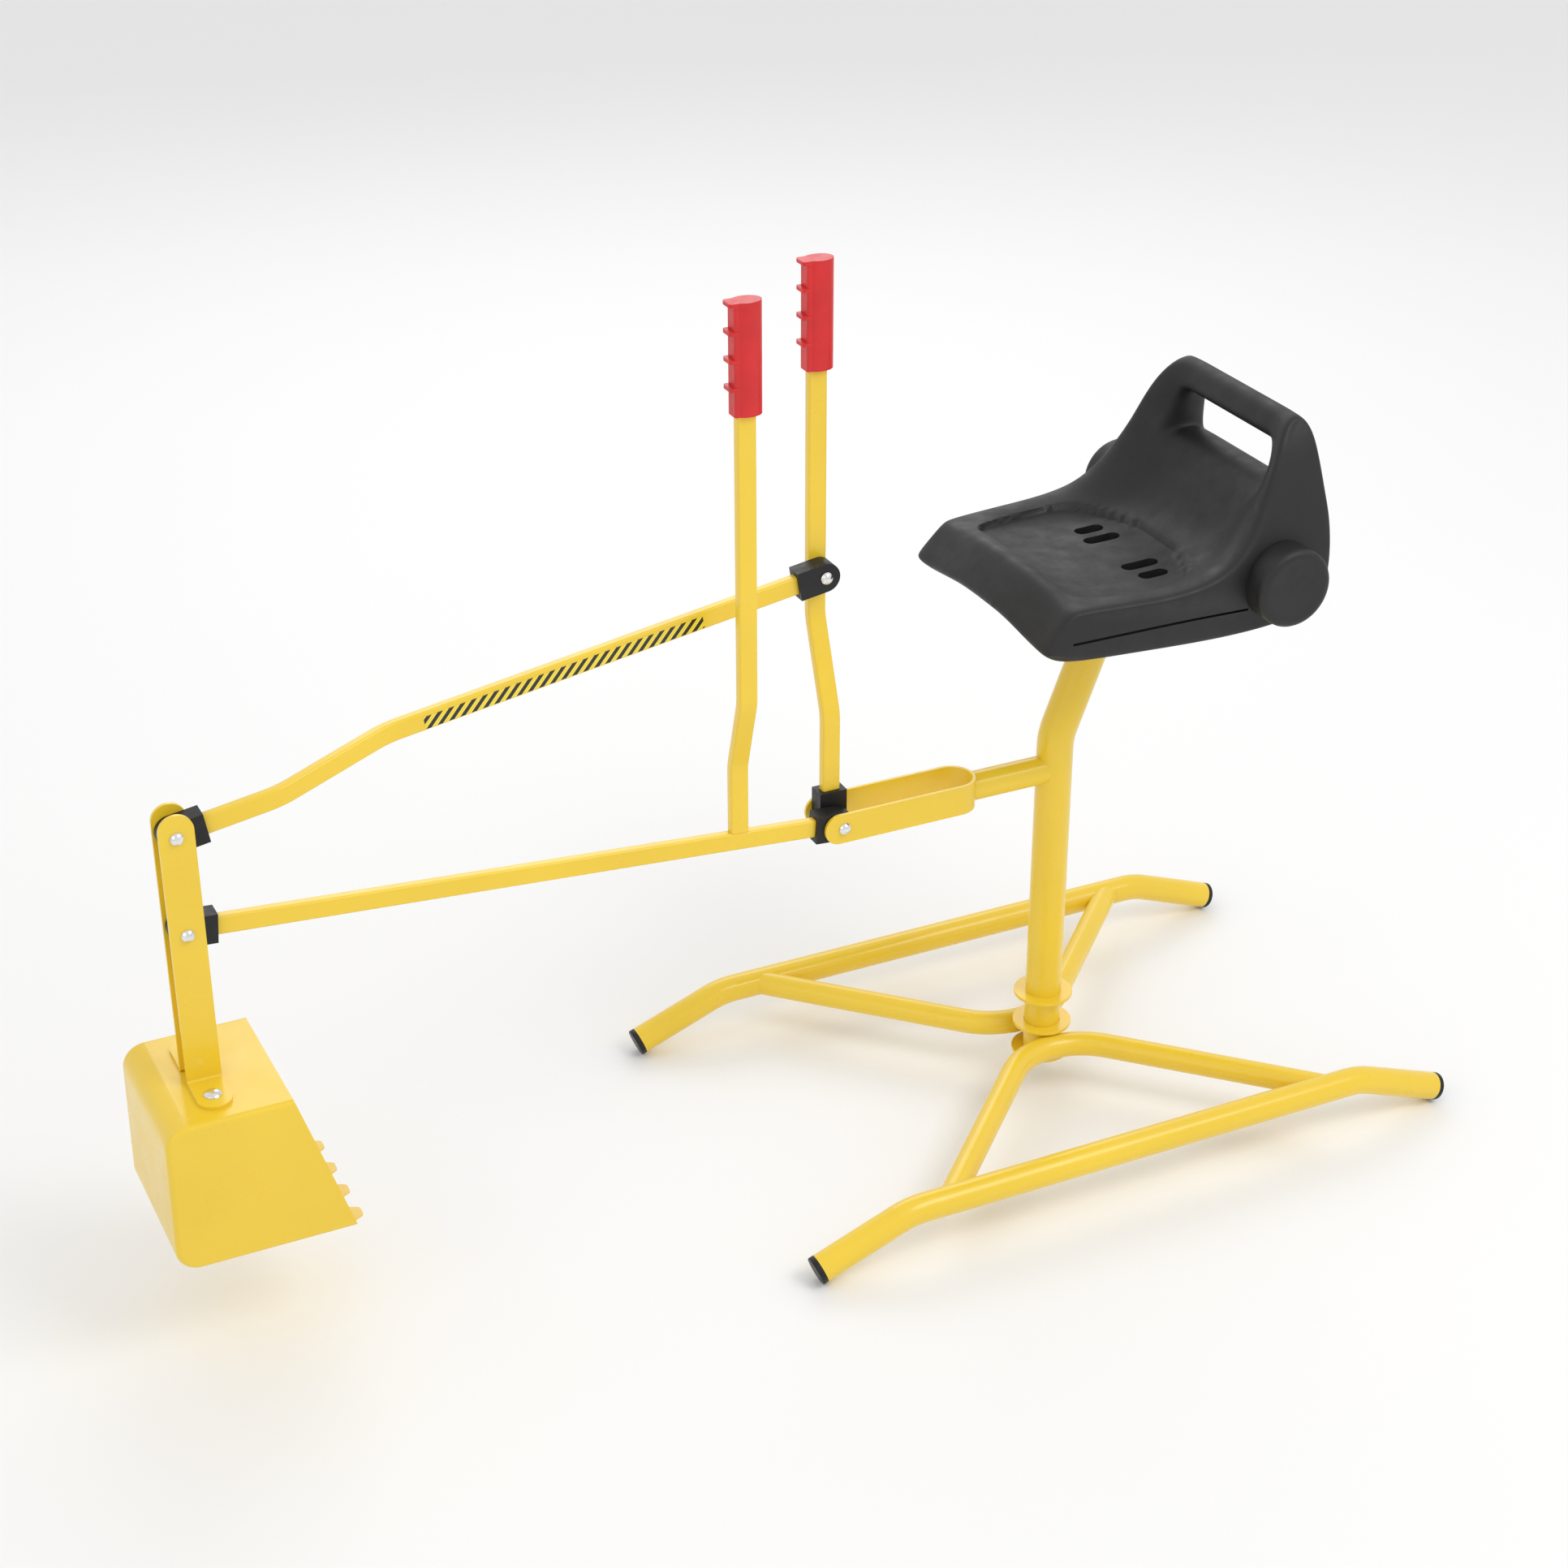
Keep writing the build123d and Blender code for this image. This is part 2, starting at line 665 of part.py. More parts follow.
def make_teeth():
    """Four tapered tongues on the floor's front edge, with rounded tips."""
    plane = Plane(origin=(0, 0, bucket_bottom_z))
    root_x = bucket_mouth_bottom_x - tooth_root
    tip_x = bucket_mouth_bottom_x + tooth_reach
    teeth = []
    for index in range(tooth_count):
        y = arm_y + (index - (tooth_count - 1) / 2) * tooth_pitch
        shape = make_face(Polyline(
            (root_x, y - tooth_width / 2),
            (bucket_mouth_bottom_x, y - tooth_width / 2),
            (tip_x, y - tooth_tip_width / 2),
            (tip_x, y + tooth_tip_width / 2),
            (bucket_mouth_bottom_x, y + tooth_width / 2),
            (root_x, y + tooth_width / 2),
            close=True,
        ))
        tips = shape.vertices().sort_by(Axis.X)[-2:]
        shape = fillet(tips, tooth_tip_round)
        teeth.append(extrude(plane * shape, bucket_wall))
    return teeth


def make_link_plate(side):
    """Upright strap with its foot bent outwards on to the bucket. side -1 is the rider's left."""
    inner_y = arm_y + side * plate_gap / 2
    outer_y = inner_y + side * plate_thickness
    foot_y = arm_y + side * foot_reach
    top_z = link_pivot[1] + plate_top_reach
    strap_bottom = bucket_top_z
    profile = make_face(Polyline(
        (inner_y, top_z),
        (outer_y, top_z),
        (outer_y, strap_bottom + plate_thickness),
        (foot_y, strap_bottom + plate_thickness),
        (foot_y, strap_bottom),
        (inner_y, strap_bottom),
        close=True,
    ))
    corner = profile.vertices().sort_by_distance((outer_y, strap_bottom + plate_thickness, 0))[0]
    profile = fillet(corner, foot_inner_radius)
    heel = profile.vertices().sort_by_distance((inner_y, strap_bottom, 0))[0]
    profile = fillet(heel, foot_bend_radius)
    plane = Plane(origin=(link_pivot[0], 0, 0), x_dir=(0, 1, 0), z_dir=(1, 0, 0))
    strap = extrude(plane * profile, plate_width / 2, both=True)
    upright = Plane(origin=(link_pivot[0], arm_y, 0), x_dir=(1, 0, 0), z_dir=(0, -1, 0))
    height = top_z - plate_width / 2
    shape = Pos(0, height) * Circle(plate_width / 2) + Pos(0, height - 200) * Rectangle(plate_width, 400)
    strap &= extrude(upright * shape, 80, both=True)
    flat = Plane(origin=(link_pivot[0], 0, bucket_top_z - 5))
    foot_end = side * (foot_reach - plate_width / 2)
    outline = Pos(0, arm_y + foot_end) * Circle(plate_width / 2)
    outline += Pos(0, arm_y + foot_end / 2) * Rectangle(plate_width, abs(foot_end))
    strap &= extrude(flat * outline, 300)
    for x, z in (bucket_pivot, link_pivot):
        strap -= rod_between_y(x, z, arm_y - 60, arm_y + 60, pivot_bolt_diameter)
    return strap - foot_bolt_hole(arm_y + side * foot_bolt_offset)


def foot_bolt_hole(y):
    return Pos(link_pivot[0], y, bucket_top_z) * Cylinder(foot_bolt_diameter / 2, 2 * foot_bolt_length)


def make_foot_bolt(side):
    y = arm_y + side * foot_bolt_offset
    plane = Plane(origin=(link_pivot[0], y, bucket_top_z + plate_thickness))
    shank_top = bucket_top_z + plate_thickness
    shank_bottom = shank_top - foot_bolt_length
    middle = (shank_top + shank_bottom) / 2
    shank = Pos(link_pivot[0], y, middle) * Cylinder(foot_bolt_diameter / 2, foot_bolt_length)
    return shank + dome_head(plane, foot_bolt_head_diameter, foot_bolt_head_height)


def make_foot_nut(side):
    y = arm_y + side * foot_bolt_offset
    top = bucket_top_z - bucket_wall
    plane = Plane(origin=(link_pivot[0], y, top), x_dir=(1, 0, 0), z_dir=(0, 0, -1))
    nut = extrude(plane * RegularPolygon(nut_flats / 2, 6, major_radius=False), foot_nut_height)
    return nut - foot_bolt_hole(y)


# ---------------------------------------------------------------- assemble the nodes
nodes = {}

# base
nodes["rail_left"] = make_rail(-rail_offset_y)
nodes["rail_right"] = make_rail(rail_offset_y)
front_end_x = rail_bend_front_x - rail_leg_run
rear_end_x = rail_bend_rear_x + rail_leg_run
nodes["rail_end_caps"] = Compound([
    make_end_cap(x_end, side * rail_offset_y, toward)
    for x_end, toward in ((front_end_x, -1), (rear_end_x, 1))
    for side in (-1, 1)
])
nodes["brace_left"] = make_brace(-1)
nodes["brace_right"] = make_brace(1)
hub_height = hub_top_z - hub_bottom_z
nodes["hub_tube"] = ring(hub_bottom_z, hub_height, post_diameter, post_diameter - 2 * post_wall)
nodes["hub_lower_flange"] = ring(hub_bottom_z, flange_thickness, flange_diameter, post_diameter)
mid_flange_bottom = mid_flange_top_z - flange_thickness
nodes["hub_mid_flange"] = ring(mid_flange_bottom, flange_thickness, flange_diameter, post_diameter)
bush_top_z = hub_top_z - bush_wall_length
nodes["hub_bushes"] = Compound([make_bush(bush_top_z), make_bush(hub_bottom_z)])
washer_bottom = hub_top_z
washer_height = upper_flange_top_z - flange_thickness - hub_top_z
nodes["thrust_washer"] = ring(washer_bottom, washer_height, 46.0, spindle_diameter + 4.0)

# turning upper frame
nodes["post"] = make_post()
upper_flange_bottom = upper_flange_top_z - flange_thickness
nodes["upper_flange"] = ring(upper_flange_bottom, flange_thickness, flange_diameter, spindle_diameter)
nodes["slew_spindle"] = make_spindle()
nodes["slew_washer"] = ring(hub_bottom_z - 1.7, 1.5, 30.0, 12.0)
nodes["slew_nut"] = ring(hub_bottom_z - 10.7, 9.0, 18.0, 12.0)
nodes["boom_stub"] = make_boom_stub()
nodes["boom_fork"] = make_fork()
half_fork = fork_width / 2
nodes["boom_pivot_bolt"] = dome_bolt_y(*boom_pivot, -half_fork, half_fork + nut_height)
nodes["boom_pivot_nut"] = hex_nut_y(*boom_pivot, half_fork)
nodes["seat_bracket"] = make_seat_bracket()
seat_outer = seat_volume(0)
seat_hollow = make_seat_hollow()
nodes["seat_shell"] = make_seat_shell(seat_outer, seat_hollow)
nodes["seat_under_shell"] = make_seat_under_shell(seat_outer, seat_hollow)
nodes["seat_side_cap_left"] = make_side_cap(-1) - seat_outer
nodes["seat_side_cap_right"] = make_side_cap(1) - seat_outer
nodes["seat_bolts"] = Compound([make_seat_bolt(x, y) for x, y in seat_bolt_places()])

# boom arm with the left lever
slope = arm_angle()
arm_trim = fitting_reach - fitting_socket
arm_rise = tan(radians(slope + 180)) * (left_lever_x - boom_pivot[0])
arm_top = boom_pivot[1] + arm_rise + bar_depth / 2 / cos(radians(slope + 180))
nodes["lower_arm"] = straight_bar(boom_pivot, bucket_pivot, arm_y, arm_trim)
nodes["arm_rear_fitting"] = end_fitting(boom_pivot, slope, arm_y)
nodes["arm_front_fitting"] = end_fitting(bucket_pivot, slope + 180, arm_y)
nodes["left_lever"] = make_left_lever(arm_top)
nodes["left_grip"] = grip(left_lever_x, left_lever_grip_y)

# bucket lever
lever_foot_z = boom_pivot[1] + arm_trim
right_lever = lever_bar(boom_pivot[0], lever_foot_y, right_lever_grip_y, lever_foot_z, right_lever_bends_z)
nodes["right_lever"] = right_lever - rod_between_y(*rod_pivot, 0, 80, pivot_bolt_diameter)
nodes["right_lever_fitting"] = end_fitting(boom_pivot, 90, lever_foot_y)
nodes["right_grip"] = grip(boom_pivot[0], right_lever_grip_y)
rod_eye_face = rod_side_y - fitting_width / 2 - 0.2
lever_far_face = right_lever_grip_y + bar_width / 2
nodes["rod_pivot_bolt"] = dome_bolt_y(*rod_pivot, rod_eye_face, lever_far_face + nut_height)
nodes["rod_pivot_nut"] = hex_nut_y(*rod_pivot, lever_far_face)

# push rod
rear_eye, _, rod_slope = rod_ends()
nodes["push_rod"] = make_rod()
nodes["rod_rear_fitting"] = end_fitting(rear_eye, rod_slope, rod_side_y)
nodes["rod_front_fitting"] = make_rod_front_fitting()
nodes["hazard_sticker"] = make_sticker()

# bucket
wrapper, side_left, side_right = make_bucket_parts()
for side in (-1, 1):
    wrapper -= foot_bolt_hole(arm_y + side * foot_bolt_offset)
for tooth in make_teeth():
    wrapper += tooth
nodes["bucket_wrapper"] = wrapper
nodes["bucket_side_left"] = side_left
nodes["bucket_side_right"] = side_right
nodes["link_plate_left"] = make_link_plate(-1)
nodes["link_plate_right"] = make_link_plate(1)
plate_face_low = arm_y - plate_gap / 2 - plate_thickness
plate_face_high = arm_y + plate_gap / 2 + plate_thickness
nodes["bucket_pivot_bolts"] = Compound([
    dome_bolt_y(x, z, plate_face_low, plate_face_high + nut_height) for x, z in (bucket_pivot, link_pivot)
])
nodes["bucket_pivot_nuts"] = Compound([
    hex_nut_y(x, z, plate_face_high) for x, z in (bucket_pivot, link_pivot)
])
nodes["foot_bolts"] = Compound([make_foot_bolt(side) for side in (-1, 1)])
nodes["foot_nuts"] = Compound([make_foot_nut(side) for side in (-1, 1)])

os.makedirs("parts", exist_ok=True)
for name, shape in nodes.items():
    export_step(shape, f"parts/{name}.step")
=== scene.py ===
"""Looks for the ride-on sand digger. Metres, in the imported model's own frame."""
import json
from math import cos, pi, radians, sin

import bmesh
import bpy
import numpy as np
from mathutils import Matrix, Vector


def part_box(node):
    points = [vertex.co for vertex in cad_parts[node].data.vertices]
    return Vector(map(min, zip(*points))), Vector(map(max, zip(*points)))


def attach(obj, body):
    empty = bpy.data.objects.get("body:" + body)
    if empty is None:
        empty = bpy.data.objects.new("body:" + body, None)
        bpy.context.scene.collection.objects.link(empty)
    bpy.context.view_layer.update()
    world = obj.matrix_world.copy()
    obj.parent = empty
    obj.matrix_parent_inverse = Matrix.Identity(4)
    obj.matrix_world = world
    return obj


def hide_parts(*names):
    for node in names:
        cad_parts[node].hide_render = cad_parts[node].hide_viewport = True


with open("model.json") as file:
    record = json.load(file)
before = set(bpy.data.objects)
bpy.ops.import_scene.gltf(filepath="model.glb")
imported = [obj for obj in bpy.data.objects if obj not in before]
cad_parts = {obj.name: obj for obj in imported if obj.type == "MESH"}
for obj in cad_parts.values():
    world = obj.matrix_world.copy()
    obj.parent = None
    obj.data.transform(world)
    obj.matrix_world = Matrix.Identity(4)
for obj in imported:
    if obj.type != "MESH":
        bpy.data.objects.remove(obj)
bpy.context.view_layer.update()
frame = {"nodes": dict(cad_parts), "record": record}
nodes = frame["nodes"]
MM = 0.001


# ---------------------------------------------------------------- shader helpers
class Nodes:
    """A material's node tree, with short ways to add and join nodes."""

    def __init__(self, name):
        self.material = bpy.data.materials.new(name)
        self.material.use_nodes = True
        self.tree = self.material.node_tree
        self.shader = self.tree.nodes["Principled BSDF"]
        coordinates = self.tree.nodes.new("ShaderNodeTexCoord")
        self.place = coordinates.outputs["Object"]

    def link(self, source, target):
        self.tree.links.new(source, target)

    def noise(self, scale, detail=2.0, roughness=0.5, place=None):
        node = self.tree.nodes.new("ShaderNodeTexNoise")
        node.inputs["Scale"].default_value = scale
        node.inputs["Detail"].default_value = detail
        node.inputs["Roughness"].default_value = roughness
        self.link(place or self.place, node.inputs["Vector"])
        return node.outputs["Fac"]

    def cells(self, scale):
        node = self.tree.nodes.new("ShaderNodeTexVoronoi")
        node.inputs["Scale"].default_value = scale
        self.link(self.place, node.inputs["Vector"])
        return node.outputs["Distance"]

    def remap(self, value, low, high, from_low=0.0, from_high=1.0):
        node = self.tree.nodes.new("ShaderNodeMapRange")
        limits = {"From Min": from_low, "From Max": from_high, "To Min": low, "To Max": high}
        for name, number in limits.items():
            node.inputs[name].default_value = number
        self.link(value, node.inputs["Value"])
        return node.outputs["Result"]

    def math(self, operation, a, b=0.0):
        node = self.tree.nodes.new("ShaderNodeMath")
        node.operation = operation
        for socket, value in zip(node.inputs, (a, b)):
            if isinstance(value, (int, float)):
                socket.default_value = value
            else:
                self.link(value, socket)
        return node.outputs[0]

    def dot(self, direction):
        node = self.tree.nodes.new("ShaderNodeVectorMath")
        node.operation = "DOT_PRODUCT"
        self.link(self.place, node.inputs[0])
        node.inputs[1].default_value = direction
        return node.outputs["Value"]

    def blend(self, factor, first, second):
        node = self.tree.nodes.new("ShaderNodeMix")
        node.data_type = "RGBA"
        self.link(factor, node.inputs["Factor"])
        for name, value in (("A", first), ("B", second)):
            socket = next(s for s in node.inputs if s.name == name and s.type == "RGBA")
            if isinstance(value, tuple):
                socket.default_value = (*value, 1.0)
            else:
                self.link(value, socket)
        return next(s for s in node.outputs if s.type == "RGBA")

    def stretch(self, scales):
        node = self.tree.nodes.new("ShaderNodeMapping")
        node.inputs["Scale"].default_value = scales
        self.link(self.place, node.inputs["Vector"])
        return node.outputs["Vector"]

    def bump(self, height, strength, distance, below=None):
        node = self.tree.nodes.new("ShaderNodeBump")
        node.inputs["Strength"].default_value = strength
        node.inputs["Distance"].default_value = distance
        self.link(height, node.inputs["Height"])
        if below:
            self.link(below, node.inputs["Normal"])
        return node.outputs["Normal"]

    def finish(self, color, roughness, normal=None, **values):
        self.link(color, self.shader.inputs["Base Color"])
        self.link(roughness, self.shader.inputs["Roughness"])
        if normal:
            self.link(normal, self.shader.inputs["Normal"])
        for name, value in values.items():
            self.shader.inputs[name.replace("_", " ").title().replace("Ior", "IOR")].default_value = value
        return self.material


# ---------------------------------------------------------------- materials
def yellow_paint():
    """Gloss powder coat: orange peel, slow drifts of colour and gloss, and faint dust."""
    n = Nodes("yellow_powder_coat")
    drift = n.remap(n.noise(9.0, 3.0), 0.0, 1.0, 0.3, 0.7)
    color = n.blend(drift, (0.87, 0.60, 0.030), (0.82, 0.56, 0.026))
    dust = n.remap(n.noise(55.0, 6.0, 0.7), 0.0, 0.10, 0.52, 0.80)
    color = n.blend(dust, color, (0.84, 0.64, 0.16))
    roughness = n.remap(n.noise(32.0, 5.0, 0.6), 0.25, 0.40, 0.3, 0.7)
    peel = n.bump(n.noise(620.0, 1.0), 0.12, 0.0004)
    fine = n.bump(n.noise(2600.0, 2.0), 0.05, 0.0001, peel)
    return n.finish(color, roughness, fine, coat_weight=0.35, coat_roughness=0.14, specular_ior_level=0.5)


def seat_plastic():
    """Black moulded polythene: a fine leathery grain, satin sheen and faint scuffs."""
    n = Nodes("seat_moulded_plastic")
    drift = n.remap(n.noise(7.0, 4.0), 0.0, 1.0, 0.3, 0.7)
    color = n.blend(drift, (0.011, 0.011, 0.0115), (0.015, 0.015, 0.0155))
    scuff = n.remap(n.noise(34.0, 8.0, 0.75), 0.0, 0.25, 0.60, 0.85)
    color = n.blend(scuff, color, (0.030, 0.030, 0.031))
    roughness = n.remap(n.noise(60.0, 6.0, 0.6), 0.44, 0.60, 0.3, 0.7)
    grain = n.bump(n.cells(1150.0), 0.16, 0.00025)
    fine = n.bump(n.noise(2400.0, 3.0), 0.12, 0.00015, grain)
    return n.finish(color, roughness, fine, specular_ior_level=0.42)


def black_fitting():
    """Black glass-filled nylon, smoother than the seat, with faint flow marks."""
    n = Nodes("black_moulded_nylon")
    flow = n.remap(n.noise(90.0, 5.0, 0.65), 0.0, 1.0, 0.35, 0.75)
    color = n.blend(flow, (0.011, 0.011, 0.012), (0.019, 0.019, 0.020))
    roughness = n.remap(n.noise(180.0, 4.0), 0.34, 0.50, 0.3, 0.7)
    grain = n.bump(n.noise(1500.0, 3.0, 0.6), 0.18, 0.0002)
    return n.finish(color, roughness, grain, specular_ior_level=0.3)


def red_grip():
    """Satin red moulded plastic."""
    n = Nodes("red_grip_plastic")
    drift = n.remap(n.noise(40.0, 4.0), 0.0, 1.0, 0.3, 0.7)
    color = n.blend(drift, (0.66, 0.010, 0.012), (0.57, 0.008, 0.010))
    roughness = n.remap(n.noise(120.0, 5.0), 0.34, 0.48, 0.3, 0.7)
    grain = n.bump(n.noise(1700.0, 2.0), 0.12, 0.0002)
    return n.finish(color, roughness, grain, coat_weight=0.1, coat_roughness=0.3)


def metal(name, light, dark, rough_low, rough_high, scratch):
    """Plated steel with fine scratches that run round it."""
    n = Nodes(name)
    drift = n.remap(n.noise(220.0, 4.0), 0.0, 1.0, 0.3, 0.7)
    color = n.blend(drift, light, dark)
    streak = n.noise(900.0, 3.0, 0.6, n.stretch((1.0, 0.15, 1.0)))
    roughness = n.remap(streak, rough_low, rough_high, 0.3, 0.7)
    normal = n.bump(streak, scratch, 0.00008)
    return n.finish(color, roughness, normal, metallic=1.0)


def nylon():
    """Natural nylon of the bushes and thrust washer."""
    n = Nodes("natural_nylon")
    color = n.blend(n.noise(80.0, 4.0), (0.74, 0.72, 0.64), (0.66, 0.63, 0.54))
    roughness = n.remap(n.noise(300.0, 3.0), 0.38, 0.52)
    return n.finish(color, roughness, n.bump(n.noise(1800.0), 0.1, 0.0001), subsurface_weight=0.05)


def hazard_film(along, across, origin):
    """Printed film: slanted black bars with a pinstripe between them, under a clear gloss."""
    n = Nodes("hazard_striped_film")
    pitch = 9.45 * MM
    lean = 1.1
    run = n.math("SUBTRACT", n.dot(along), along.dot(origin))
    rise = n.math("SUBTRACT", n.dot(across), across.dot(origin))
    slanted = n.math("SUBTRACT", run, n.math("MULTIPLY", rise, lean))
    phase = n.math("FRACT", n.math("DIVIDE", slanted, pitch))
    bar = n.math("LESS_THAN", phase, 0.50)
    pin_low = n.math("GREATER_THAN", phase, 0.71)
    pin_high = n.math("LESS_THAN", phase, 0.77)
    pinstripe = n.math("MULTIPLY", pin_low, pin_high)
    ground = n.blend(n.noise(70.0, 4.0), (0.95, 0.74, 0.05), (0.88, 0.68, 0.04))
    color = n.blend(n.math("MULTIPLY", pinstripe, 0.55), ground, (0.42, 0.33, 0.02))
    color = n.blend(bar, color, (0.008, 0.008, 0.008))
    roughness = n.remap(n.noise(150.0, 4.0), 0.22, 0.36, 0.3, 0.7)
    normal = n.bump(n.noise(900.0), 0.05, 0.0001)
    return n.finish(color, roughness, normal, coat_weight=0.3, coat_roughness=0.1)


slot_materials = {
    "yellow_paint": yellow_paint(),
    "black_fitting": black_fitting(),
    "seat_plastic": seat_plastic(),
    "red_grip": red_grip(),
    "bright_bolt": metal("bright_plated_bolt", (0.86, 0.86, 0.87), (0.74, 0.74, 0.76), 0.10, 0.22, 0.05),
    "zinc_steel": metal("zinc_plated_steel", (0.60, 0.60, 0.58), (0.46, 0.46, 0.45), 0.28, 0.45, 0.12),
    "nylon": nylon(),
}

rod_low, rod_high = (Vector(corner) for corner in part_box("hazard_sticker"))
film_height = 12.4 * MM
film_along = Vector((rod_high.x - rod_low.x, 0, rod_high.z - rod_low.z - film_height)).normalized()
film_across = Vector((-film_along.z, 0, film_along.x))
slot_materials["hazard_film"] = hazard_film(film_along, film_across, (rod_low + rod_high) / 2)

# ---------------------------------------------------------------- carried-over CAD nodes
# Small edge rounding in millimetres; what is not named here is left as it is
edge_rounding = {
    "arm_rear_fitting": 0.7, "arm_front_fitting": 0.7, "right_lever_fitting": 0.7,
    "rod_rear_fitting": 0.7, "rod_front_fitting": 0.7,
    "left_grip": 0.8, "right_grip": 0.8, "rail_end_caps": 0.4,
    "hub_lower_flange": 0.5, "hub_mid_flange": 0.5, "upper_flange": 0.5,
    "boom_pivot_nut": 0.3, "rod_pivot_nut": 0.3, "bucket_pivot_nuts": 0.3, "foot_nuts": 0.3,
    "seat_bracket": 0.4, "slew_nut": 0.4, "slew_washer": 0.2,
}
weld_distance = 1e-5
bevel_angle = 38
slots = {part["node"]: part["material_slot"] for part in frame["record"]["subparts"]}
replaced_nodes = ("seat_shell", "seat_under_shell", "seat_side_cap_left", "seat_side_cap_right")
for name, node in nodes.items():
    if name in replaced_nodes:
        continue
    node.data.materials.clear()
    node.data.materials.append(slot_materials[slots[name]])
    if name in edge_rounding:
        weld = node.modifiers.new("weld", "WELD")
        weld.merge_threshold = weld_distance
        bevel = node.modifiers.new("edge", "BEVEL")
        bevel.width = edge_rounding[name] * MM
        bevel.segments = 2
        bevel.limit_method = "ANGLE"
        bevel.angle_limit = radians(bevel_angle)
        bevel.use_clamp_overlap = True


# ---------------------------------------------------------------- mesh helpers
def make_object(name, bm, material):
    mesh = bpy.data.meshes.new(name)
    bm.to_mesh(mesh)
    bm.free()
    for polygon in mesh.polygons:
        polygon.use_smooth = True
    mesh.materials.append(material)
    obj = bpy.data.objects.new(name, mesh)
    bpy.context.scene.collection.objects.link(obj)
    return obj


def apply_modifiers(obj):
    graph = bpy.context.evaluated_depsgraph_get()
    mesh = bpy.data.meshes.new_from_object(obj.evaluated_get(graph))
    obj.modifiers.clear()
    obj.data = mesh


def smooth_by_angle(obj, degrees_limit):
    obj.data.shade_smooth()
    obj.data.set_sharp_from_angle(angle=radians(degrees_limit))


def cut(obj, cutter_bm):
    """Take the cutter's volume out of obj."""
    cutter = make_object("cutter", cutter_bm, obj.data.materials[0])
    step = obj.modifiers.new("cut", "BOOLEAN")
    step.operation = "DIFFERENCE"
    step.solver = "EXACT"
    step.object = cutter
    apply_modifiers(obj)
    bpy.data.objects.remove(cutter)


# ---------------------------------------------------------------- seat
# The seat is a loft across its width. Each row is one line that runs from side to side: where it lies
# on the middle of the seat (x, z), where it lies at the edge (x, z), its half width, and the distances
# from the middle between which the first shape turns into the second. Millimetres.
seat_rows = [
    ((-79, 495), (-78, 486), 112, (20, 105)),
    ((-83, 500), (-83, 491), 114, (20, 105)),
    ((-71, 515), (-70, 506), 112, (20, 105)),
    ((-59, 529), (-58, 520), 110, (20, 105)),
    ((-51, 530), (-50, 522), 110, (30, 100)),
    ((-32, 520), (-25, 522.5), 113, (72, 106)),
    ((0, 516.5), (12, 522.5), 117, (74, 106)),
    ((40, 516), (44, 523.5), 119, (72, 108)),
    ((80, 517), (76, 529), 119, (62, 112)),
    ((108, 526), (97, 543), 118, (48, 108)),
    ((130, 552), (112, 561), 114, (44, 104)),
    ((149, 583), (123, 582), 108, (52, 100)),
    ((153, 599), (130, 599), 104, (60, 100)),
    ((154, 616), (137, 615), 100, (60, 98)),
    ((152, 630), (144, 629), 94, (66, 92)),
    ((156, 641), (153, 640), 88, (60, 84)),
    ((165, 645.5), (164, 645), 84, (60, 84)),
    ((174, 641), (173, 641), 87, (60, 84)),
    ((179, 630), (178, 630), 93, (60, 90)),
    ((179, 616), (180, 615), 99, (60, 98)),
    ((181, 599), (182, 599), 104, (60, 100)),
    ((182, 583), (184, 583), 108, (60, 100)),
    ((184, 563), (186, 565), 114, (60, 110)),
    ((187, 538), (188, 540), 117, (60, 110)),
    ((186, 512), (187, 513), 119, (60, 110)),
    ((181, 494), (182, 495), 118, (60, 110)),
    ((167, 480), (168, 481), 117, (60, 110)),
    ((140, 472), (142, 473), 116, (60, 110)),
    ((80, 471), (80, 471), 116, (60, 110)),
    ((2, 474), (2, 475), 115, (60, 110)),
    ((-50, 480), (-48, 477), 114, (40, 110)),
    ((-70, 487), (-69, 480), 112, (30, 110)),
]
seat_stations = (0.0, 0.18, 0.36, 0.52, 0.61, 0.675, 0.76, 0.84, 0.905, 0.955, 0.985, 1.0)
seat_edge_inset = {0.955: 0.5, 0.985: 2.2, 1.0: 6.0}
hole_rows = (11, 13)            # the handle hole lies between these rows in front and their partners behind
hole_station = 0.675
row_count = len(seat_rows)


def smoothstep(value, low, high):
    t = np.clip((value - low) / (high - low), 0.0, 1.0)
    return t * t * (3 - 2 * t)


def seat_loop(share):
    """The closed side outline at a share of the half width: rows of (x, y, z), before any inset."""
    points = []
    for middle, edge, half_width, (low, high) in seat_rows:
        y = share * half_width
        mix = smoothstep(abs(y), low, high)
        x = middle[0] + (edge[0] - middle[0]) * mix
        z = middle[1] + (edge[1] - middle[1]) * mix
        points.append((x, y, z))
    return np.array(points)


def draw_in(points, amount):
    """Move a closed outline inwards in its own XZ plane."""
    flat = points[:, [0, 2]]
    tangent = np.roll(flat, -1, axis=0) - np.roll(flat, 1, axis=0)
    tangent /= np.linalg.norm(tangent, axis=1)[:, None]
    inward = np.stack([tangent[:, 1], -tangent[:, 0]], axis=1)
    moved = points.copy()
    moved[:, [0, 2]] += inward * amount
    return moved


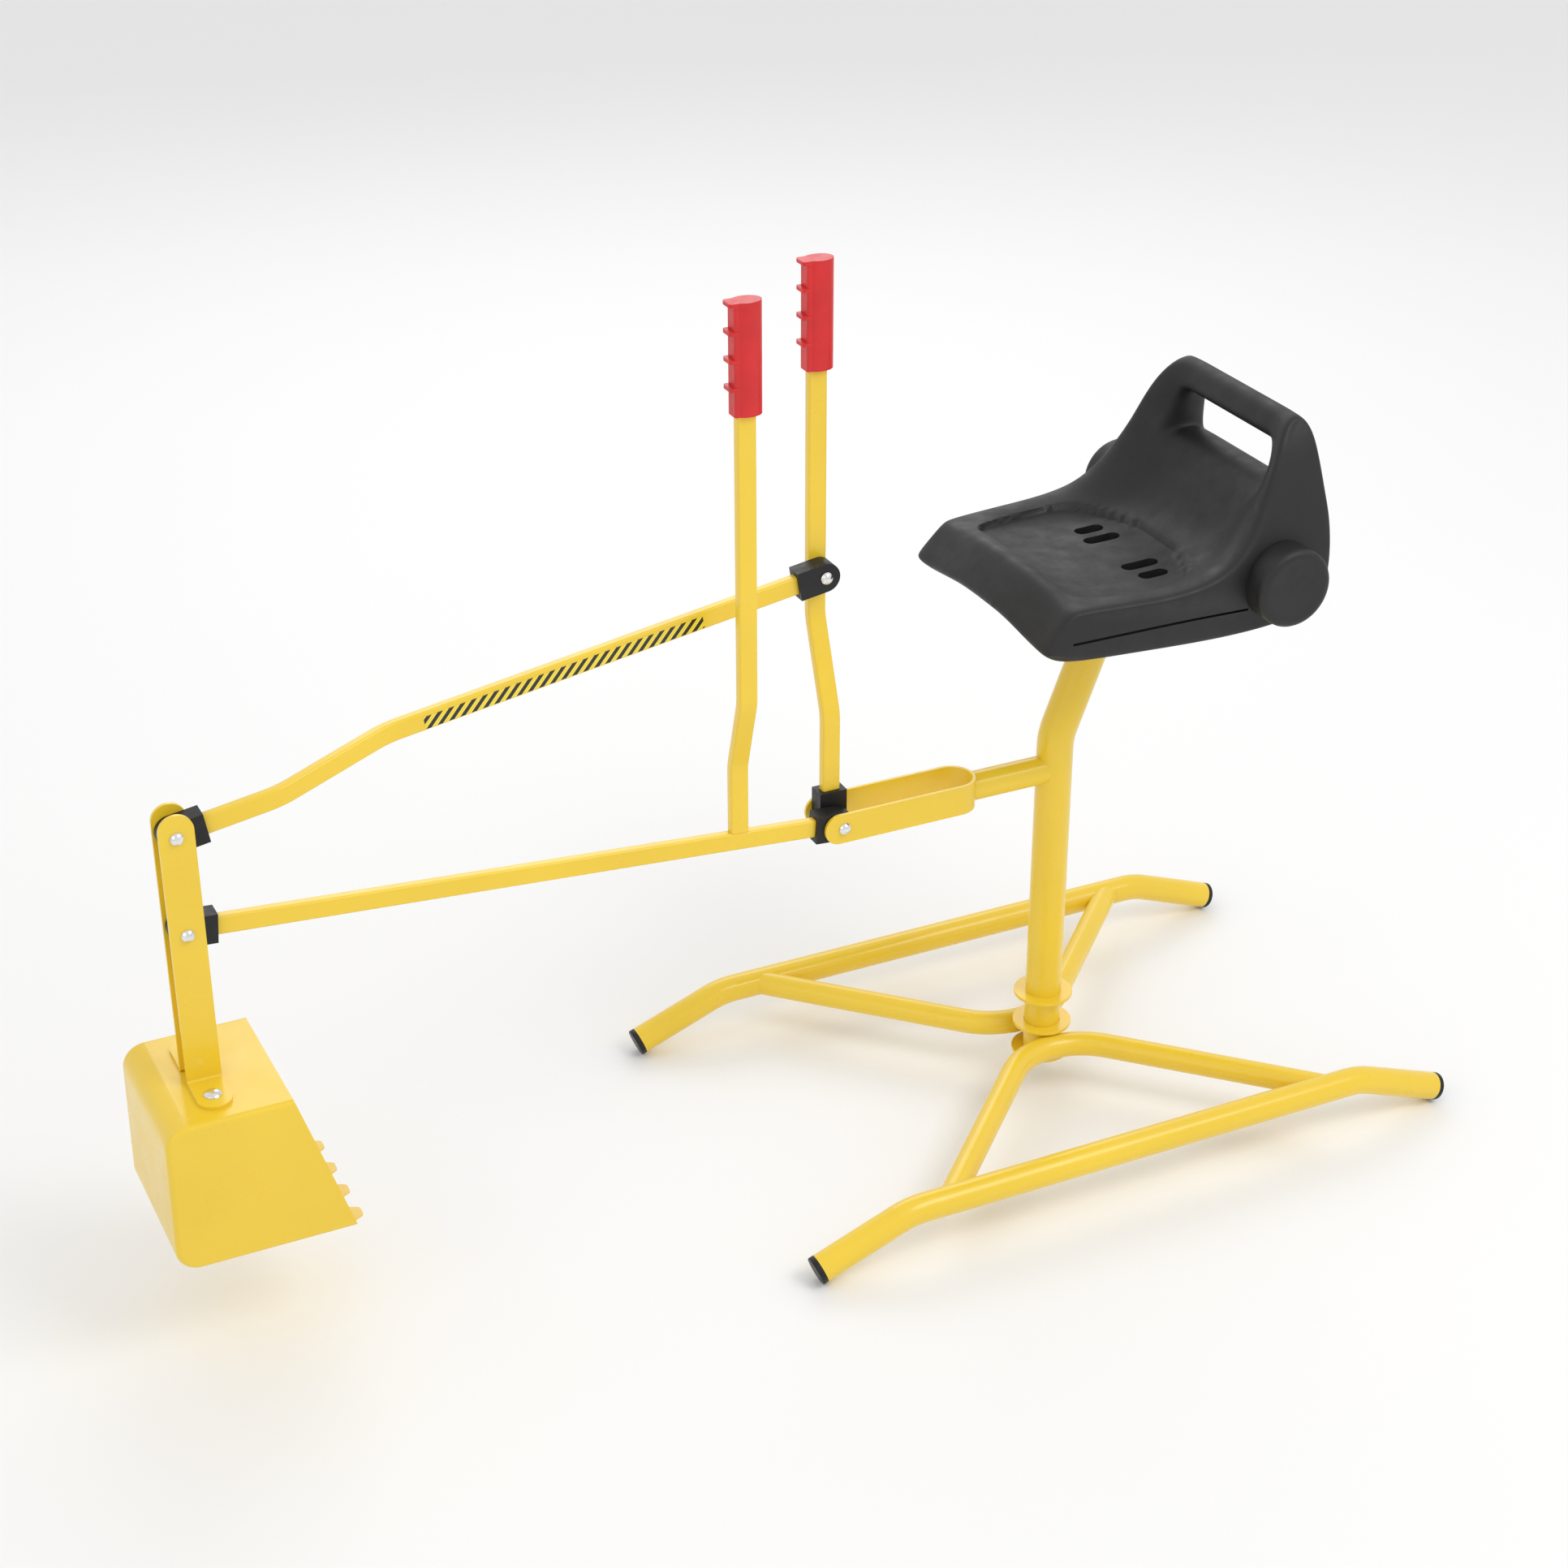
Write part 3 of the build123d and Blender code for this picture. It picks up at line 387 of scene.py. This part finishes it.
def seat_cage():
    shares = [-s for s in reversed(seat_stations[1:])] + list(seat_stations)
    bm = bmesh.new()
    grid = []
    for share in shares:
        points = draw_in(seat_loop(share), seat_edge_inset.get(abs(share), 0.0))
        grid.append([bm.verts.new(p * MM) for p in points])
    first, last = hole_rows
    for i in range(len(shares) - 1):
        inside = abs(shares[i]) <= hole_station and abs(shares[i + 1]) <= hole_station
        for k in range(row_count):
            back = row_count - k - 1
            in_front = first <= k < last
            in_back = first <= back < last
            if inside and (in_front or in_back):
                continue
            after = (k + 1) % row_count
            bm.faces.new((grid[i][k], grid[i][after], grid[i + 1][after], grid[i + 1][k]))
    line_hole(bm, grid, shares, first, last)
    for side_rim in (grid[0], grid[-1]):
        for k in range(row_count // 2 - 1):
            partner = row_count - 1 - k
            bm.faces.new((side_rim[k], side_rim[k + 1], side_rim[partner - 1], side_rim[partner]))
    bmesh.ops.recalc_face_normals(bm, faces=bm.faces)
    return bm


def line_hole(bm, grid, shares, first, last):
    """Join the front rim of the handle hole to the back rim."""
    columns = [i for i, share in enumerate(shares) if abs(share) <= hole_station]
    rim = [(i, first) for i in columns]
    rim += [(columns[-1], k) for k in range(first + 1, last + 1)]
    rim += [(i, last) for i in reversed(columns[:-1])]
    rim += [(columns[0], k) for k in range(last - 1, first, -1)]
    for (i, k), (j, m) in zip(rim, rim[1:] + rim[:1]):
        quad = (grid[i][k], grid[j][m], grid[j][row_count - m], grid[i][row_count - k])
        bm.faces.new(quad)


# Outline of the shallow pan in the seat, one half, front to back
pan_outline = [
    (-42, 0), (-42, 60), (-40, 80), (-20, 88), (12, 93),
    (42, 94), (62, 88), (76, 72), (87, 48), (93, 20),
]


def distance_inside(x, y, outline):
    """Signed distance to a closed outline, positive inside."""
    points = np.array(outline + [(px, -py) for px, py in reversed(outline[1:])], float)
    ends = np.roll(points, -1, axis=0)
    nearest = np.full(x.shape, 1e9)
    crossings = np.zeros(x.shape, int)
    for (ax, ay), (bx, by) in zip(points, ends):
        dx, dy = bx - ax, by - ay
        t = np.clip(((x - ax) * dx + (y - ay) * dy) / (dx * dx + dy * dy), 0, 1)
        nearest = np.minimum(nearest, np.hypot(x - ax - t * dx, y - ay - t * dy))
        straddles = (ay > y) != (by > y)
        if dy:
            crossings += straddles & (x < ax + (y - ay) * dx / dy)
    return np.where(crossings % 2 == 1, nearest, -nearest)


def round_outline(outline, passes=3):
    """Cut the corners of half an outline, keeping its two ends on the middle line."""
    for _ in range(passes):
        rounded = [outline[0]]
        for (ax, ay), (bx, by) in zip(outline, outline[1:]):
            rounded.append((0.75 * ax + 0.25 * bx, 0.75 * ay + 0.25 * by))
            rounded.append((0.25 * ax + 0.75 * bx, 0.25 * ay + 0.75 * by))
        outline = rounded + [outline[-1]]
    return outline


def press_pan(obj, depth=4.2, wall=1.2):
    """Sink the pan's floor by depth, with a wall that takes up the given width. Millimetres."""
    mesh = obj.data
    places = np.empty(len(mesh.vertices) * 3)
    mesh.vertices.foreach_get("co", places)
    places = places.reshape(-1, 3) / MM
    normals = np.array([v.normal[:] for v in mesh.vertices])
    on_top = (places[:, 2] > 505) & (normals[:, 2] > 0.2) & (places[:, 0] < 105)
    inside = distance_inside(places[:, 0], places[:, 1], round_outline(pan_outline))
    drop = depth * smoothstep(inside, -wall / 2, wall / 2) * on_top
    places[:, 2] -= drop
    mesh.vertices.foreach_set("co", (places * MM).ravel())
    mesh.update()


def capsule(center, length, width, low, high):
    """An upright prism with round ends, long along X."""
    bm = bmesh.new()
    steps = 14
    radius = width / 2
    outline = []
    for end in (1, -1):
        for i in range(steps + 1):
            angle = -pi / 2 + pi * i / steps
            x = end * (length / 2 - radius + radius * cos(angle))
            outline.append((center[0] + x, center[1] + end * radius * sin(angle)))
    bottom = [bm.verts.new((x * MM, y * MM, low * MM)) for x, y in outline]
    top = [bm.verts.new((x * MM, y * MM, high * MM)) for x, y in outline]
    bm.faces.new(list(reversed(bottom)))
    bm.faces.new(top)
    for i in range(len(outline)):
        j = (i + 1) % len(outline)
        bm.faces.new((bottom[i], bottom[j], top[j], top[i]))
    bmesh.ops.recalc_face_normals(bm, faces=bm.faces)
    return bm


def block(low, high):
    bm = bmesh.new()
    size = [(b - a) * MM for a, b in zip(low, high)]
    middle = [(a + b) / 2 * MM for a, b in zip(low, high)]
    bmesh.ops.create_cube(bm, size=1.0, matrix=Matrix.Translation(middle) @ Matrix.Diagonal((*size, 1)))
    return bm


# Slots through the pan (distance from the middle, length) and the seam along each side, in millimetres
slot_rows = ((30.6, 34.0), (51.7, 27.0))
slot_middle_x = 55
slot_width = 13.0
slot_depth_z = (502, 540)
seam_x = (-57, 108)
seam_y = (110.0, 130)
seam_z = (494.6, 496.8)
crease_angle = 40


def build_seat():
    seat = make_object("seat_moulding", seat_cage(), slot_materials["seat_plastic"])
    levels = 3
    subdivide = seat.modifiers.new("subdivide", "SUBSURF")
    subdivide.levels = levels
    subdivide.render_levels = levels
    apply_modifiers(seat)
    press_pan(seat)
    for side in (-1, 1):
        for y, length in slot_rows:
            cut(seat, capsule((slot_middle_x, side * y), length, slot_width, *slot_depth_z))
        y_in, y_out = sorted((side * seam_y[0], side * seam_y[1]))
        cut(seat, block((seam_x[0], y_in, seam_z[0]), (seam_x[1], y_out, seam_z[1])))
    smooth_by_angle(seat, crease_angle)
    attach(seat, "upper_frame")
    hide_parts("seat_shell", "seat_under_shell")


def lathe_y(name, profile, center, side, material):
    """Turn (radius, y) points about a line along Y."""
    steps = 96
    bm = bmesh.new()
    rings = []
    for radius, y in profile:
        if radius == 0:
            rings.append([bm.verts.new((center[0] * MM, side * y * MM, center[1] * MM))])
            continue
        ring = []
        for i in range(steps):
            angle = 2 * pi * i / steps
            x = center[0] + radius * cos(angle)
            z = center[1] + radius * sin(angle)
            ring.append(bm.verts.new((x * MM, side * y * MM, z * MM)))
        rings.append(ring)
    for inner, outer in zip(rings, rings[1:]):
        for i in range(steps):
            j = (i + 1) % steps
            if len(inner) == 1:
                bm.faces.new((inner[0], outer[i], outer[j]))
            elif len(outer) == 1:
                bm.faces.new((inner[i], outer[0], inner[j]))
            else:
                bm.faces.new((inner[i], outer[i], outer[j], inner[j]))
    bmesh.ops.recalc_face_normals(bm, faces=bm.faces)
    return make_object(name, bm, material)


# Round boss on each side of the seat, in millimetres
boss_center = (136.0, 518.0)
boss_face_y = 142.0
boss_root_y = 106


def build_side_cap(side, word):
    face = boss_face_y
    profile = [(0, face - 0.6), (20, face - 0.5), (25.5, face - 0.2), (28, face), (30.5, face - 0.5)]
    profile += [(32.6, face - 1.9), (33.8, face - 4.0), (34.0, face - 6.5), (34.0, face - 22)]
    profile += [(33.0, boss_root_y), (0, boss_root_y)]
    cap = lathe_y(f"seat_side_boss_{word}", profile, boss_center, side, slot_materials["seat_plastic"])
    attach(cap, "upper_frame")
    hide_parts(f"seat_side_cap_{word}")


build_seat()
build_side_cap(-1, "left")
build_side_cap(1, "right")


# ---------------------------------------------------------------- studio
def build_floor():
    bm = bmesh.new()
    bmesh.ops.create_grid(bm, x_segments=1, y_segments=1, size=12.0)
    n = Nodes("studio_floor")
    color = n.blend(n.noise(0.8, 2.0), (0.90, 0.90, 0.90), (0.88, 0.88, 0.88))
    material = n.finish(color, n.remap(n.noise(3.0), 0.6, 0.7))
    floor = make_object("studio_floor", bm, material)


def build_light(name, place, target, size, power):
    data = bpy.data.lights.new(name, "AREA")
    data.shape = "RECTANGLE"
    data.size, data.size_y = size
    data.energy = power
    light = bpy.data.objects.new(name, data)
    light.location = place
    light.rotation_euler = (Vector(target) - Vector(place)).to_track_quat("-Z", "Y").to_euler()
    bpy.context.scene.collection.objects.link(light)


def build_world():
    world = bpy.data.worlds.new("studio")
    world.use_nodes = True
    background = world.node_tree.nodes["Background"]
    background.inputs["Color"].default_value = (1.0, 1.0, 1.0, 1.0)
    background.inputs["Strength"].default_value = 0.85
    bpy.context.scene.world = world


def build_camera():
    yaw, pitch, roll = radians(25.49), radians(28.25), radians(-0.11)
    forward = Vector((sin(yaw) * cos(pitch), cos(yaw) * cos(pitch), -sin(pitch)))
    right = Vector((cos(yaw), -sin(yaw), 0.0))
    up = right.cross(forward)
    right, up = cos(roll) * right + sin(roll) * up, cos(roll) * up - sin(roll) * right
    data = bpy.data.cameras.new("photo_view")
    data.sensor_width = 36.0
    data.lens = 65.94
    data.shift_x = 0.0040
    data.shift_y = 0.0018
    data.clip_end = 60.0
    camera = bpy.data.objects.new("photo_view", data)
    turn = Matrix((right, up, -forward)).transposed().to_4x4()
    camera.matrix_world = Matrix.Translation((-1.1681, -1.8914, 1.4870)) @ turn
    bpy.context.scene.collection.objects.link(camera)
    bpy.context.scene.camera = camera


build_floor()
build_world()
middle = (-0.25, 0.0, 0.35)
build_light("key", (0.9, -1.6, 2.6), middle, (1.6, 1.2), 24)
build_light("fill", (-2.6, -1.2, 1.6), middle, (1.8, 1.8), 5)
build_light("back", (0.6, 2.4, 2.0), middle, (2.0, 1.2), 14)
build_camera()
bpy.context.scene.view_settings.view_transform = "Standard"
